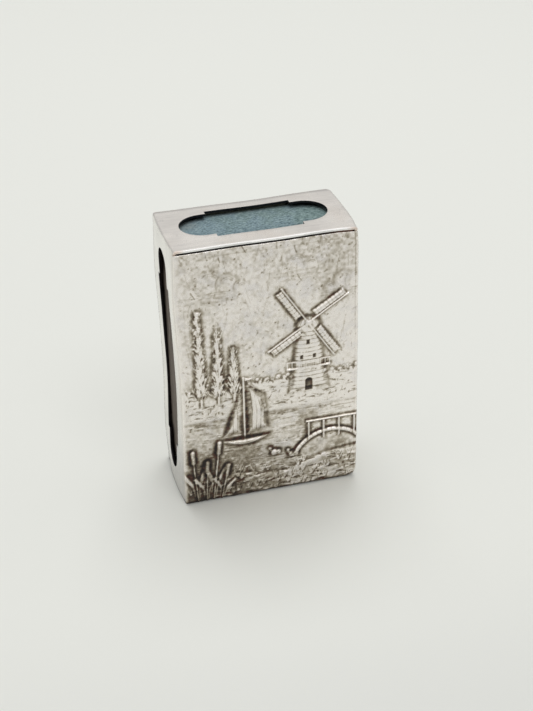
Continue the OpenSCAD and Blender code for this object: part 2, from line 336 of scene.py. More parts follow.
def polished_silver(brush, across_brush):
    """Polished sheet, its brush marks fine across the axes where brush is large."""

    def build(place):
        stain = place.noise(0.09, 3, 0.6).rise(0.45, 0.75)
        marks = place.noise(1, 3, 0.7, brush)
        scratch = place.noise(0.45, 1, 0.5, brush, 3).rise(0.64, 0.68)
        lean = {"Vector": place, "Axis": (0.5, 1.0, 0.3), "Angle": 0.6}
        tilted = place.node("ShaderNodeVectorRotate", lean)
        cross = tilted.noise(0.5, 1, 0.5, across_brush, 8).rise(0.67, 0.71)
        smudge = place.noise(0.1, 3, 0.6, (1, 1, 1), 12).rise(0.35, 0.68)
        dent = place.noise(0.16, 1, 0.4)
        satin = place.axis("Z").rise(57, 58)
        handled = (0 - place.axis("Y")).rise(6.4, 8.0) * (1 - satin)
        tone = (stain * 0.6 + handled * (0.4 + 0.5 * marks)).least(1)
        far_edge = place.axis("Y").rise(7.6, 9.2) * satin
        # Painted reflection of shade: the lower left wall is greyed where it mirrors the shaded floor at its foot.
        foot = place.axis("Z").rise(20, 4) * (0 - place.axis("X")).rise(17, 17.6)
        # Painted contact shadow: the lowest fraction of a millimetre of the sheet goes near black where the case
        # meets the floor.
        contact_shade = place.axis("Z").rise(0.7, 0.2) * 0.8
        worn = 0.3 * smudge + 0.2 * marks.rise(0.3, 0.7) + 0.14 * scratch + 0.14 * cross
        grey = (worn + far_edge * 0.45 + foot * (0.45 + 0.5 * stain)).least(1)
        return {
            "Base Color": contact_shade.mix(grey.mix(tone.mix(silver, warm_silver), (0.52, 0.51, 0.50)), (0.10, 0.09, 0.08)),
            "Metallic": 1.0,
            "Roughness": 0.12 + 0.1 * satin + 0.12 * handled + 0.08 * marks + 0.05 * (scratch + cross + smudge),
            "Normal": (scratch + cross).bump(0.002, marks.bump(0.0012, dent.bump(0.03))),
        }

    return build


def dull_inside(place):
    """The unpolished side of the sheet, grey and stained."""
    stain = place.noise(0.3, 4, 0.6).rise(0.35, 0.7)
    return {
        "Base Color": stain.mix((0.40, 0.37, 0.33), (0.20, 0.17, 0.14)),
        "Metallic": 1.0,
        "Roughness": 0.42 + 0.1 * stain,
        "Normal": place.noise(3, 2).bump(0.01),
    }


def cut_edge(place):
    """Sawn edges: bright along the lip, black in the slots as tarnish and painted shade, and plain at the foot."""
    rub = place.noise(2.5, 3, 0.65)
    y, z = place.axis("Y"), place.axis("Z")
    lip = (0 - y).rise(8.0, 8.6) * z.rise(56.9, 57.3)
    # Painted shade, with some tarnish: the cut walls of the slots are near black.
    slot_tarnish_and_shade = (y - slot_y).abs().rise(7.2, 6.8) * z.rise(2.6, 3.2)
    plain = rub.rise(0.3, 0.75).mix((0.80, 0.75, 0.69), (0.50, 0.44, 0.36))
    end = place.axis("X").abs().rise(15.6, 17.6)
    bare = lip.mix(plain, (end * 0.7).mix((0.98, 0.97, 0.96), (0.70, 0.54, 0.44)))
    return {
        "Base Color": slot_tarnish_and_shade.mix(bare, (0.035, 0.032, 0.036)),
        "Metallic": 1.0,
        "Roughness": 0.22 + 0.16 * rub * (1 - lip) - 0.1 * lip,
        "Normal": (rub * (1 - lip)).bump(0.006),
    }


band_outside = new_material("polished silver band", polished_silver((0.2, 5, 0.2), (4, 0.25, 4)))
inside_silver = new_material("dull silver", dull_inside)
edge_silver = new_material("cut silver edge", cut_edge)

side_middle = flat_half + bend_len + top_z - bend_r - top_z / 2
cut_back = flat_half + bend_len
wall_y = band_lo.y + sheet
strip = [(-strip_half, wall_y), (-cut_back, wall_y), (-cut_back, band_lo.y), (cut_back, band_lo.y),
         (cut_back, wall_y), (strip_half, wall_y), (strip_half, band_hi.y), (-strip_half, band_hi.y)]
slots = [stepped_slot(0, **top_slot),
         stepped_slot(side_middle, **side_slot), stepped_slot(-side_middle, **side_slot)]
strip_pitch = 0.6
folds = []
for side in (-1, 1):
    for i in range(bend_steps + 1):
        s = side * (flat_half + bend_len * i / bend_steps)
        folds.append(spaced([(s, band_lo.y), (s, band_hi.y)], strip_pitch, closed=False))
flat_strip, strip_faces = cut_sheet(strip, slots, folds, strip_pitch)
band = sheet_metal("silver_band", knock(bend_strip(flat_strip)), strip_faces,
                   [band_outside, inside_silver, edge_silver])
lip_slant = 0.16
for vertex in band.data.vertices:
    if vertex.co.y / mm < band_lo.y + 0.13:
        up = min(max((vertex.co.z / mm - top_z + sheet) / sheet, 0), 1)
        vertex.co.y += lip_slant * up * mm
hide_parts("band")
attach(band, "holder")


# Back
# A plain silver sheet whose two long edges and top are rolled over to meet the band.
# It is polished, and carries the fine scratches of lying on its back.

back_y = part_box("back_panel")[1].y / mm
back_r = 0.8
roll_steps = 6


def arch(inset, pitch):
    """Line up the left edge, over the top and down the right, at an inset from the outside."""
    r = bend_r - inset
    w = half_w - inset
    line = [(-w, 0)]
    if r > 0:
        for side, start in ((-1, 180), (1, 90)):
            for i in range(7):
                a = math.radians(start - 15 * i)
                line.append((side * (w - r) + r * math.cos(a), top_z - inset - r + r * math.sin(a)))
    else:
        line += [(-w, top_z - inset), (w, top_z - inset)]
    return spaced(line + [(w, 0)], pitch, closed=False)


back_pitch = 0.8
rings = [back_r * (1 - math.cos(math.pi / 2 * i / roll_steps)) for i in range(roll_steps + 1)]
back_plan, back_faces = cut_sheet(arch(0, back_pitch), [], [arch(e, back_pitch) for e in rings[1:]],
                                  back_pitch)
open_outline = [(-half_w, -top_z)] + arch(0, back_pitch)[1:-1] + [(half_w, -top_z)]
edge_gap = np.clip(-to_polygon(back_plan[:, 0], back_plan[:, 1], open_outline), 0, back_r)
roll = np.sqrt(np.maximum(back_r**2 - (back_r - edge_gap) ** 2, 0))
back_points = np.stack([back_plan[:, 0], back_y - back_r + roll, back_plan[:, 1]], 1)
back_outside = new_material("polished silver back", polished_silver((5, 0.2, 0.2), (0.25, 0.2, 4)))
back = sheet_metal("silver_back", knock(back_points), back_faces,
                   [back_outside, inside_silver, edge_silver])
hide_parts("back_panel")
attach(back, "holder")


# Front
# A panel of silver sheet stamped with a made-up canal landscape, as wide as the case, and soldered
# over the front edges of its walls, under its lip. It is worn on the highs and dark in the hollows.

seam_gap = 0.42
panel_half = half_w
panel_top = top_z - sheet - seam_gap
panel_corner = 0.15
panel_foot = 0.25
panel_y = band_lo.y
grid_step = 0.15
chance = random.Random(1904)


def mottle(x, z, cell, seed):
    """Smooth random values from 0 to 1 that change over about one cell."""
    u, v = (x + half_w) / cell, (z + cell) / cell
    i, j = u.astype(int), v.astype(int)
    a, b = soft(u - i), soft(v - j)
    grid = np.random.default_rng(seed).random((j.max() + 2, i.max() + 2))
    low = grid[j, i] * (1 - a) + grid[j, i + 1] * a
    high = grid[j + 1, i] * (1 - a) + grid[j + 1, i + 1] * a
    return low * (1 - b) + high * b


def blur(grid, reach):
    """Mean of each value with its neighbours, up to reach cells away."""
    for axis in (0, 1):
        pads = [(reach + 1, reach) if axis == a else (0, 0) for a in (0, 1)]
        sums = np.cumsum(np.pad(grid, pads, mode="edge"), axis)
        ahead = np.arange(2 * reach + 1, sums.shape[axis])
        grid = (np.take(sums, ahead, axis) - np.take(sums, ahead - 2 * reach - 1, axis)) / (2 * reach + 1)
    return grid


def moved(points, x, z, turn=0.0):
    """Points turned about their origin and then put at x, z."""
    c, s = math.cos(math.radians(turn)), math.sin(math.radians(turn))
    return [(x + c * px - s * pz, z + s * px + c * pz) for px, pz in points]


def bar(x0, z0, x1, z1):
    """Corners of an upright box."""
    return [(x0, z0), (x1, z0), (x1, z1), (x0, z1)]


class Picture:
    """The stamped picture: how far each point of the panel stands out, and its tarnish."""

    def __init__(self, x, z, height, tarnish, settled):
        self.x = x
        self.z = z
        self.height = height
        self.tarnish = tarnish
        self.settled = settled

    def window(self, x0, z0, x1, z1):
        """The picture inside a box. What is done to it is done to the picture."""
        cols = slice(*np.searchsorted(self.x[0], (x0, x1)))
        rows = slice(*np.searchsorted(self.z[:, 0], (z0, z1)))
        layers = (self.x, self.z, self.height, self.tarnish, self.settled)
        return Picture(*(layer[rows, cols] for layer in layers))

    def stamp(self, gap, height, edge=0.6, halo=0.3, dark=0.5):
        """Raises a domed shape where gap is below 0, with a sunken, tarnished line round it."""
        inside = soft(-gap / edge)
        up, across = np.gradient(gap, grid_step)
        facing = np.clip(0.55 + 0.35 * up + 0.2 * np.abs(across) - 0.15 * across, 0.3, 1)
        ring = np.exp(-((np.maximum(gap, 0) / halo) ** 2)) * (1 - inside) ** 3 * facing
        raised = np.maximum(self.height - 0.05 * ring * (gap > 0), height * inside)
        self.height[:] = raised
        self.tarnish[:] = np.maximum(self.tarnish * (1 - 0.9 * inside), dark * ring * self.settled)

    def discs(self, discs, *look, **more):
        """Stamps a cluster of discs as one shape."""
        reach = 2.5
        seen = self.window(min(x - r for x, _, r in discs) - reach,
                           min(z - r for _, z, r in discs) - reach,
                           max(x + r for x, _, r in discs) + reach,
                           max(z + r for _, z, r in discs) + reach)
        gap = np.min([np.hypot(seen.x - x, seen.z - z) - r for x, z, r in discs], 0)
        seen.stamp(gap, *look, **more)

    def shape(self, corners, *look, **more):
        """Stamps a polygon."""
        low, high = np.min(corners, 0) - 2.5, np.max(corners, 0) + 2.5
        seen = self.window(low[0], low[1], high[0], high[1])
        seen.stamp(to_polygon(seen.x, seen.z, corners), *look, **more)

    def sink(self, corners, depth, dark=0.75):
        """Presses a small polygon in and darkens it."""
        low, high = np.min(corners, 0) - 1, np.max(corners, 0) + 1
        seen = self.window(low[0], low[1], high[0], high[1])
        inside = soft(0.4 - to_polygon(seen.x, seen.z, corners) / 0.3)
        seen.height -= depth * inside
        seen.tarnish[:] = np.maximum(seen.tarnish, dark * inside)

    def chase(self, line, width=0.12, depth=0.04, dark=0.4):
        """Cuts a dark groove along a line, or draws up a bright ridge where both are negative."""
        reach = 3 * width
        for (x0, z0), (x1, z1) in zip(line, line[1:]):
            seen = self.window(min(x0, x1) - reach, min(z0, z1) - reach,
                               max(x0, x1) + reach, max(z0, z1) + reach)
            dx, dz = x1 - x0, z1 - z0
            share = ((seen.x - x0) * dx + (seen.z - z0) * dz) / (dx * dx + dz * dz)
            share = np.clip(share, 0, 1)
            away = np.hypot(seen.x - x0 - share * dx, seen.z - z0 - share * dz)
            cut = np.exp(-((away / width) ** 2))
            seen.height -= depth * cut
            if dark < 0:
                seen.tarnish *= 1 + dark * cut
            else:
                seen.tarnish[:] = np.maximum(seen.tarnish, dark * cut)

    def strokes(self, count, area, length, angle, **cut):
        """Chases short bent strokes at random inside a box, of a length and angle in degrees."""
        x0, z0, x1, z1 = area
        for _ in range(count):
            x, z = chance.uniform(x0, x1), chance.uniform(z0, z1)
            run, turn = chance.uniform(*length), math.radians(chance.uniform(*angle))
            bend = chance.uniform(-0.06, 0.06) * run
            middle = (x + run / 2 * math.cos(turn) - bend * math.sin(turn),
                      z + run / 2 * math.sin(turn) + bend * math.cos(turn))
            end = (x + run * math.cos(turn), z + run * math.sin(turn))
            self.chase([(x, z), middle, end], **cut)


columns = np.linspace(-1, 1, round(2 * panel_half / grid_step) + 1)
rows = np.linspace(panel_foot, panel_top, round((panel_top - panel_foot) / grid_step) + 1)
over = np.maximum(rows - panel_top + panel_corner, 0)
row_half = panel_half - panel_corner + np.sqrt(panel_corner**2 - over**2)
x = columns * row_half[:, None]
z = rows[:, None] * np.ones(columns.shape)
settled = 0.3 + 0.9 * mottle(x, z, 2.4, 21) * (0.5 + mottle(x, z, 0.7, 22))
picture = Picture(x, z, np.zeros(x.shape), np.zeros(x.shape), np.clip(settled, 0.3, 1))
# Partly tarnish, partly a painted darker reflection of the shaded floor by the case: the panel darkens towards the
# bottom.
low_tarnish_and_shade = soft((26 - z) / 24)
left_ground = low_tarnish_and_shade * soft((4 - x) / 16)
picture.settled += 0.25 * low_tarnish_and_shade

# Sky with low banks of cloud
clouds = [
    [(-14.5, 48.6, 2.0), (-11.6, 50.2, 2.9), (-8, 49.6, 2.3), (-5.2, 48.6, 1.6)],
    [(3.4, 50.8, 1.5), (5.8, 52, 2.1), (8.8, 51.4, 1.6)],
    [(12.6, 45.6, 1.5), (15.2, 46.8, 2.2), (18, 46.4, 2.4)],
]
for cloud in clouds:
    base = min(z for _, z, _ in cloud) - 0.7
    for cx, cz, r in cloud:
        picture.discs([(cx, cz, r)], 0.07, 1.8, 0.25, 0.12)
        for inset in (0.3, 0.8, 1.2):
            turns = [math.radians(a) for a in range(35, chance.randint(110, 150), 12)]
            puff = [(cx + (r - inset) * math.cos(a), cz + (r - inset) * math.sin(a)) for a in turns]
            picture.chase(puff, 0.12, 0.012, 0.1)
    left = min(cx - r for cx, _, r in cloud)
    right = max(cx + r for cx, _, r in cloud)
    picture.strokes(16, (left - 1, base - 1.8, right - 3, base + 0.2), (1.5, 5), (-3, 3),
                    width=0.12, depth=0.012, dark=0.12)

# Far bank with its hedge
horizon = 27
picture.shape(bar(-40, 19, 40, horizon), 0.14, 0.9, 0.4, 0.35)
for i in range(120):
    hedge_x = chance.uniform(-18, 18)
    clump = (hedge_x, horizon + chance.uniform(-0.5, 0.35), chance.uniform(0.25, 0.55))
    picture.discs([clump], chance.uniform(0.16, 0.2), 0.5, 0.2, 0.3)
picture.strokes(90, (-17.6, 26, 17.6, 27.3), (0.3, 0.7), (40, 140), width=0.12, dark=0.35)
picture.strokes(130, (-17.6, 19.6, 17.6, 26), (0.5, 1.6), (-14, 14), dark=0.22)
picture.strokes(90, (-17.6, 19.8, 17.6, 26), (0.5, 1.5), (-14, 14), depth=-0.03, dark=-0.5)
picture.strokes(40, (-17.6, 19.8, 17.6, 25), (0.3, 0.6), (60, 120), dark=0.24)

# Poplars, each a column of leaf clumps on a trunk
poplars = [(-14.2, 22.5), (-10.6, 18), (-7.4, 13.5)]
tree_foot = 23
for tree_x, tall in poplars:
    picture.shape(bar(tree_x - 0.3, tree_foot, tree_x + 0.3, 27), 0.27, 0.3, 0.3, 0.5)
    crown = []
    for i in range(24):
        up = i / 23
        wide = 1.5 * (1 - 0.52 * up) * (1 + 0.1 * math.sin(2.6 * i + tree_x))
        crown.append((tree_x + 0.12 * math.sin(1.7 * i), tree_foot + 3 + up * (tall - 4.5), wide))
    picture.discs(crown, 0.3, 1.1, 0.45, 0.6)
    for _ in range(26):
        up = chance.random()
        side = chance.choice((-1, 1)) * chance.uniform(0.74, 1.0)
        clump_x = tree_x + side * (1.5 - 0.78 * up)
        clump = (clump_x, tree_foot + 2.4 + up * (tall - 4.2), chance.uniform(0.2, 0.38))
        picture.discs([clump], 0.2, 0.45, 0.2, 0.22)
    for i in range(170):
        up = chance.random() ** 1.5
        leaf_x = tree_x + chance.uniform(-1, 1) * (1.45 - 0.78 * up)
        leaf_z = tree_foot + 1.8 + up * (tall - 3)
        lean = (leaf_x - tree_x) * 0.45 + chance.uniform(-0.1, 0.1)
        leaf = [(leaf_x, leaf_z), (leaf_x + lean, leaf_z + chance.uniform(0.5, 0.9))]
        if i > 60:
            picture.chase(leaf, 0.11, 0.06, 0.42)
        else:
            picture.chase(leaf, 0.12, -0.04, -0.7)

# Windmill with its gallery, boards, door and windows
mill_x = 8
tower = moved([(-4.2, 23), (4.2, 23), (2.4, 37.5), (-2.4, 37.5)], mill_x, 0)
picture.shape(tower, 0.3, 1.6, 0.5, 0.62)
picture.discs([(mill_x, 37.5, 2.7)], 0.34, 1.6, 0.5, 0.62)
for i in range(15):
    board_z = 23.8 + 0.92 * i
    half = 4.2 - (board_z - 23) * 1.8 / 14.5 - 0.3
    board = [(mill_x - half, board_z), (mill_x, board_z - 0.18), (mill_x + half, board_z)]
    picture.chase(board, 0.11, 0.04, 0.27)
for slat in (-1.6, -0.8, 0, 0.8, 1.6):
    picture.chase([(mill_x + slat * 1.2, 37.6), (mill_x + slat * 0.6, 39.8)], 0.1, 0.03, 0.3)
door = [(mill_x + 0.8 * math.cos(a), 25.2 + 0.8 * math.sin(a)) for a in np.linspace(0, math.pi, 9)]
picture.sink([(mill_x - 0.8, 23), (mill_x + 0.8, 23)] + door, 0.1)
for pane_x, pane_z in ((-1.5, 30.9), (1.2, 30.9), (-0.1, 34.2)):
    picture.sink(moved(bar(-0.35, -0.5, 0.35, 0.5), mill_x + pane_x, pane_z), 0.1, 0.65)
picture.shape(bar(mill_x - 4.6, 28, mill_x + 4.6, 28.7), 0.34, 0.35, 0.35, 0.6)
picture.shape(bar(mill_x - 4.6, 29.7, mill_x + 4.6, 30.05), 0.3, 0.2, 0.2, 0.4)
for i in range(10):
    post_x = mill_x - 4.4 + 0.978 * i
    picture.shape(bar(post_x - 0.12, 28.4, post_x + 0.12, 30), 0.3, 0.15, 0.15, 0.3)
for i in range(4):
    turn = 33 + 90 * i
    spar = moved(bar(0, -0.24, 10, 0.24), mill_x, 38.5, turn)
    cloth = moved(bar(2, 0, 9.6, 1.8), mill_x, 38.5, turn)
    picture.shape(cloth, 0.32, 0.6, 0.35, 0.5)
    picture.shape(spar, 0.4, 0.26, 0.25, 0.4)
    for step in range(8):
        along = 2.9 + 0.88 * step
        picture.chase(moved([(along, 0.35), (along, 1.6)], mill_x, 38.5, turn), 0.11, 0.05, 0.4)
    picture.chase(moved([(2.2, 1), (9.4, 1)], mill_x, 38.5, turn), 0.1, 0.05, 0.38)
picture.discs([(mill_x, 38.5, 0.75)], 0.4, 0.5, 0.25, 0.4)

# Canal with its ripples and the reflections in it
picture.strokes(150, (-17.9, 5.5, 16.5, 18.6), (0.7, 2.8), (-5, 5), depth=0.03, dark=0.24)
picture.strokes(150, (-17.9, 5.5, 16.5, 18.6), (0.7, 2.4), (-4, 4), depth=-0.04, dark=-0.6)
picture.strokes(30, (-17.9, 18.0, 15, 18.9), (1, 3), (-2, 2), width=0.16, depth=0.04, dark=0.35)
for shade_x, half in ((-5.5, 4.6), (8, 3.6)):
    for i in range(16):
        shade_z = 18.2 - 0.34 * i if shade_x > 0 else 11.4 - 0.3 * i
        wide = half * (1 - 0.045 * i) * chance.uniform(0.4, 1)
        start = shade_x - wide + chance.uniform(-0.5, 0.5)
        line = [(start, shade_z), (start + wide, shade_z - 0.12), (start + 2 * wide, shade_z)]
        picture.chase(line, 0.15, 0.03, 0.3)

# Sailing barge
barge_x, barge_z = -5.5, 13.4
main_sail = [(0.6, 1.6), (5, 2.2), (4.2, 10.2), (0.6, 13.2)]
fore_sail = [(-0.6, 12), (-0.6, 2), (-4.4, 1.6)]
for sail in (main_sail, fore_sail):
    picture.shape(moved(sail, barge_x, barge_z), 0.34, 1.9, 0.6, 0.7)
for seam_x in (1.5, 2.4, 3.3, 4.1):
    seam = [(seam_x, 2.3), (seam_x + 0.15, 7), (seam_x * 0.88, 12.2 - 0.75 * seam_x)]
    picture.chase(moved(seam, barge_x, barge_z), 0.1, 0.03, 0.3)
for seam_x in (-1.5, -2.4, -3.2):
    seam = moved([(seam_x, 2.2), (seam_x, 12 + 2.7 * seam_x)], barge_x, barge_z)
    picture.chase(seam, 0.1, 0.03, 0.3)
picture.shape(moved(bar(-0.25, 0, 0.25, 15), barge_x, barge_z), 0.36, 0.27, 0.3, 0.5)
pennant = [(0.2, 14.9), (1.4, 14.5), (2.8, 14.8), (1.4, 14), (0.2, 13.9)]
picture.shape(moved(pennant, barge_x, barge_z), 0.25, 0.3, 0.2, 0.4)
turns = [math.radians(a) for a in range(231, 310, 6)]
hull = [(barge_x + 8.2 * math.cos(a), barge_z + 7 + 8.2 * math.sin(a)) for a in turns]
picture.shape(hull + [(barge_x + 5.2, barge_z + 0.7), (barge_x - 5.2, barge_z + 0.7)],
              0.42, 0.9, 0.6, 0.85)
for deep in (7.75, 7.25):
    plank = [(barge_x + deep * math.cos(a), barge_z + 7 + deep * math.sin(a)) for a in turns[1:-1]]
    picture.chase(plank, 0.1, 0.04, 0.4)

# Two ducks
for duck_x, duck_z in ((0.6, 9.3), (4.4, 8.2)):
    body = [(0, 0, 0.95), (0.8, 0, 0.75), (-0.85, 1.05, 0.5), (-0.7, 0.55, 0.4)]
    picture.discs([(duck_x + px, duck_z + pz, r) for px, pz, r in body], 0.36, 0.9, 0.45, 0.75)
    wing = [(-0.3, 0.2), (0.5, -0.15), (1.2, 0.3)]
    picture.chase(moved(wing, duck_x, duck_z), 0.1, 0.05, 0.45)
    picture.chase([(duck_x - 1.6, duck_z - 0.9), (duck_x + 1.9, duck_z - 0.9)], 0.16, 0.06, 0.6)

# Near bank, trodden dark, with worn tufts of grass
near = [(-40, -9), (40, -9), (40, 10), (11, 7.5), (2, 4.5), (-7, 6), (-40, 9.5)]
picture.shape(near, 0.15, 1.1, 0.5, 0.5)
on_bank = soft(-to_polygon(picture.x, picture.z, near) / 1.2)
trodden = 0.1 + 0.34 * mottle(picture.x, picture.z, 1.4, 31) * (0.3 + left_ground)
picture.tarnish[:] = np.maximum(picture.tarnish, on_bank * trodden)
picture.strokes(150, (-17.6, 0.2, 17.2, 7), (0.5, 2), (-10, 14), width=0.13, depth=-0.05, dark=-0.7)
picture.strokes(110, (-17.6, 0.2, 17.2, 7), (0.6, 2.2), (-12, 12), width=0.13, dark=0.45)
for _ in range(60):
    tuft_x, tuft_z = chance.uniform(-17.6, 17.6), chance.uniform(0.1, 6.6)
    for lean in (-0.5, -0.2, 0.1, 0.45):
        tall = chance.uniform(0.5, 1.3)
        blade = [(tuft_x + lean * 0.3, tuft_z), (tuft_x + lean * tall, tuft_z + tall)]
        picture.chase(blade, 0.11, -0.05, -0.7)
        picture.chase([(px + 0.2, pz - 0.1) for px, pz in blade], 0.1, 0.04, 0.42)

# Foot bridge
bridge_x, bridge_z, bridge_r = 12.5, 4.2, 9
from_middle = np.hypot(picture.x - bridge_x, picture.z - bridge_z)
below = soft((bridge_r - 1.1 - from_middle) / 2.5) * soft((picture.z - bridge_z - 1.5) / 3)
picture.tarnish[:] = np.maximum(picture.tarnish, 0.26 * below * picture.settled)
arch_gap = np.maximum(np.abs(from_middle - bridge_r + 0.55) - 0.6, bridge_z + 4 - picture.z)
picture.stamp(arch_gap, 0.34, 0.5, 0.45, 0.7)
for degrees in range(32, 150, 7):
    a = math.radians(degrees)
    plank = [(bridge_x + r * math.cos(a), bridge_z + r * math.sin(a)) for r in (8, 8.9)]
    picture.chase(plank, 0.1, 0.05, 0.4)
for i in range(4):
    post_x = bridge_x + 3.2 * (i - 1.5)
    post = bar(post_x - 0.02, bridge_z + 6.6, post_x + 0.52, bridge_z + 11)
    picture.shape(post, 0.33, 0.26, 0.3, 0.6)
rail = bar(bridge_x - 5.2, bridge_z + 10.95, bridge_x + 5.7, bridge_z + 11.55)
picture.shape(rail, 0.36, 0.3, 0.35, 0.7)

# Bulrushes with their leaves
rushes = [(-15.6, 12.5, 4), (-13.9, 9.6, -3), (-12.5, 14, -7), (-10.8, 8.4, -12)]
for rush_x, tall, lean in rushes:
    for side, reach in ((-1, 3.2), (1, 2.6)):
        blade = [(-0.1, 0), (side * 0.35, tall * 0.4), (side * reach * 0.7, tall * 0.66),
                 (side * reach, tall * 0.6), (side * 0.95, tall * 0.3), (side * 0.5, 0)]
        picture.shape(moved(blade, rush_x, 0, lean), 0.3, 0.45, 0.35, 0.6)
    stem = moved(bar(-0.22, 0, 0.22, tall), rush_x, 0, lean)
    picture.shape(stem, 0.32, 0.24, 0.35, 0.6)
for rush_x, tall, lean in rushes:
    spots = moved([(0, tall - 2.5 + 0.18 * i) for i in range(14)], rush_x, 0, lean)
    picture.discs([(px, pz, 0.62) for px, pz in spots], 0.42, 0.7, 0.55, 0.85)
    for i in range(6):
        cross = moved([(-0.35, tall - 2.3 + 0.4 * i), (0.35, tall - 2.2 + 0.4 * i)], rush_x, 0, lean)
        picture.chase(cross, 0.09, 0.025, 0.25)

# Age: scratches, cracks and pits, then the tarnish that settles wherever the picture is hollow, and a painted
# contact shadow along the foot
picture.strokes(46, (-17, 28, 17, 55), (1.5, 5), (72, 108), width=0.09, depth=0.012, dark=0.12)
picture.strokes(260, (-17.8, 27, 17.8, 57), (0.2, 0.8), (20, 160), width=0.1, depth=0.015, dark=0.15)
picture.strokes(260, (-17.8, 27, 17.8, 57), (0.2, 0.9), (20, 160), width=0.1, depth=-0.015, dark=-0.5)
picture.strokes(5, (-15, 44, 15, 56), (1.0, 2.2), (100, 130), width=0.1, depth=0.03, dark=0.34)
for _ in range(150):
    pit_x, pit_z = chance.uniform(-17.4, 17.4), chance.uniform(1, 56.5)
    wide = chance.uniform(0.08, 0.16)
    line = [(pit_x, pit_z), (pit_x + 0.05, pit_z + 0.02)]
    picture.chase(line, wide, 0.04, chance.uniform(0.15, 0.55))
fold_line = [(-12 + 2.9 * i, panel_top - 1.3 + 0.08 * math.sin(i)) for i in range(10)]
picture.chase(fold_line, 0.12, 0.01, 0.08)
grain = sum(mottle(picture.x, picture.z, cell, 40 + i) * share
            for i, (cell, share) in enumerate(((1.6, 0.4), (0.8, 0.35), (0.4, 0.35))))
picture.height += 0.055 * (grain - 0.5)
hollow = blur(picture.height, 5) - picture.height
rim = np.minimum(panel_half - np.abs(picture.x), picture.z - panel_foot)
picture.height -= 0.16 * np.clip(1 - rim / 0.4, 0, 1) ** 2
border = np.exp(-(((panel_half - 0.6 - picture.x) / 0.13) ** 2)) * (0.45 + 0.55 * soft((picture.z - 30) / 6))
picture.height -= 0.02 * border
patches = mottle(picture.x, picture.z, 5, 5) * mottle(picture.x, picture.z, 2.2, 6)
speck = mottle(picture.x, picture.z, 0.5, 8) - 0.5
near_seam = np.exp(-(((panel_top - picture.z) / 6) ** 2))
stain = np.exp(-(((picture.x - 13) / 3) ** 2 + ((picture.z - 49) / 4) ** 2))
film = 0.02 + 0.13 * patches + 0.08 * near_seam + 0.12 * stain + 0.2 * border
film = film + low_tarnish_and_shade * (0.05 + 0.1 * patches) + left_ground * 0.2
film = film - 0.05 * soft((picture.x - 2) / 8) * soft((46 - picture.z) / 8)
film = film - 0.1 * np.exp(-rim / 0.4) + speck * (0.18 + 0.12 * near_seam + 0.1 * low_tarnish_and_shade)
picture.tarnish = 0.86 * picture.tarnish + film + np.clip(hollow * 4, -0.16, 0.4)
bright_rim = 1 - 0.75 * np.exp(-(((panel_half + picture.x) / 0.5) ** 2))
# Painted contact shadow: a dark line along the panel's foot, where it meets the floor.
foot_contact_shade = 0.6 * np.exp(-(((picture.z - panel_foot) / 0.4) ** 2))
picture.tarnish = np.clip(picture.tarnish * bright_rim + foot_contact_shade, 0, 1)


def stamped_silver(place):
    """Worn bright silver on the high parts, going through olive grey to brown black."""
    amount = place.node("ShaderNodeAttribute", None, 2, attribute_name="tarnish")
    grain = place.noise(3.2, 3, 0.65)
    dark = amount + (grain - 0.5) * (0.1 + 0.35 * amount.rise(0, 0.5))
    stops = [(0, (0.93, 0.885, 0.845)), (0.12, (0.78, 0.733, 0.675)), (0.3, (0.47, 0.42, 0.345)),
             (0.5, (0.23, 0.195, 0.145)), (0.75, (0.075, 0.055, 0.042)), (1, (0.02, 0.015, 0.013))]
    colour = place.node("ShaderNodeValToRGB", {"Fac": dark}, stops=stops)
    cool = place.noise(0.3, 3, 0.6, (1, 1, 1), 15).rise(0.48, 0.68) * dark.rise(0.5, 0.1)
    colour = (cool * 0.35).mix(colour, (0.70, 0.68, 0.70))
    red = place.noise(0.8, 2, 0.5, (1, 1, 1), 5).rise(0.52, 0.64) * dark.rise(0.4, 0.65)
    colour = (red * 0.45).mix(colour, (0.12, 0.042, 0.026))
    rub = place.noise(6, 2, 0.6, (1, 1, 0.35))
    return {
        "Base Color": colour,
        "Metallic": 1 - 0.5 * amount.rise(0.35, 0.9),
        "Roughness": 0.2 + 0.1 * rub + 0.36 * amount,
        "Normal": grain.bump(0.018, rub.bump(0.006)),
    }


front_silver = new_material("stamped silver", stamped_silver)
raised = np.stack([picture.x, panel_y - picture.height, picture.z], -1).reshape(-1, 3)
wide, tall = len(columns), len(rows)
numbers = np.arange(wide * tall).reshape(tall, wide)
cells = np.stack([numbers[:-1, :-1], numbers[:-1, 1:], numbers[1:, 1:], numbers[1:, :-1]], -1)
border = [*numbers[0], *numbers[1:, -1], *numbers[-1, -2::-1], *numbers[-2:0:-1, 0]]
behind = raised[border] * (1, 0, 1) + (0, panel_y + sheet, 0)
backs = [wide * tall + i for i in range(len(border))]
walls = [(a, b, c, d) for a, b, c, d in zip(border, backs, backs[1:] + backs[:1],
                                            border[1:] + border[:1])]
panel_faces = cells.reshape(-1, 4).tolist() + walls + [backs]
front = new_piece("stamped_front", knock(np.vstack([raised, behind])), panel_faces, [front_silver])
for polygon in front.data.polygons[-len(walls) - 1:]:
    polygon.use_smooth = False
tarnish = front.data.attributes.new("tarnish", "FLOAT", "POINT")
tarnish.data.foreach_set("value", [*picture.tarnish.ravel(), *[0.2] * len(border)])
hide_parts("front_panel")
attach(front, "holder")


# Solder
# Fillets behind the front and a thin line in the seam between band and back, run in by hand.
# They have gone brown and reddish, and the top seam is painted black as shade.


